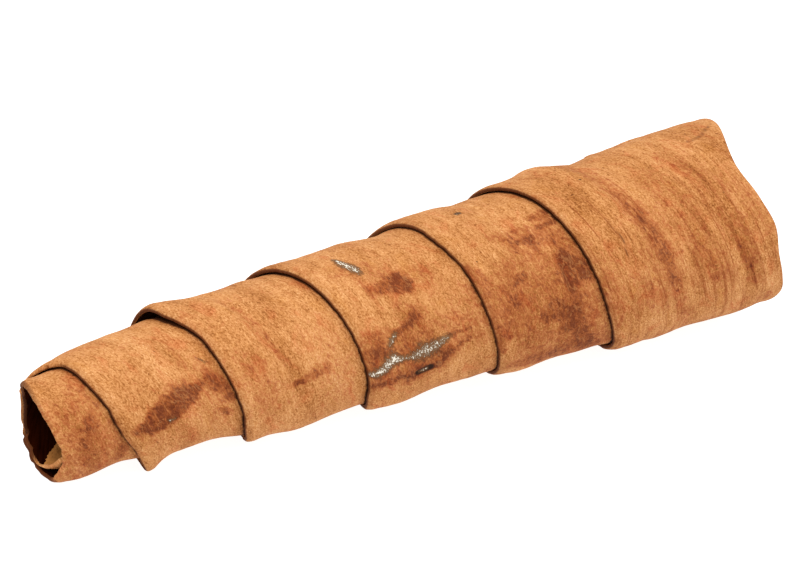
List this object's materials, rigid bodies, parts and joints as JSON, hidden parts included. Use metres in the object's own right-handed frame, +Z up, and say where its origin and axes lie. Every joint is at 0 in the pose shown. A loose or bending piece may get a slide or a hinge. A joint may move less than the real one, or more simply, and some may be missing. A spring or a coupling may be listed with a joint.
{
  "type": "cinnamon stick",
  "caption": "Dried cinnamon stick: a strip of thin bark wound at a slant into a hollow, tapering roll with stepped edges, used to flavour food and drinks.",
  "frame": {"origin": "under the middle of the stick, on the surface that it lies on", "axes": "+X along the stick towards its wide end, +Z up, and the front that the strip passes going down is at -Y"},
  "size_m": [0.1006, 0.0256, 0.0255],
  "materials": {
    "bark": "dry matte bark, fibrous, mottled brown"
  },
  "bodies": {
    "root": {"cinnamon_stick": "bark"}
  },
  "joints": []
}
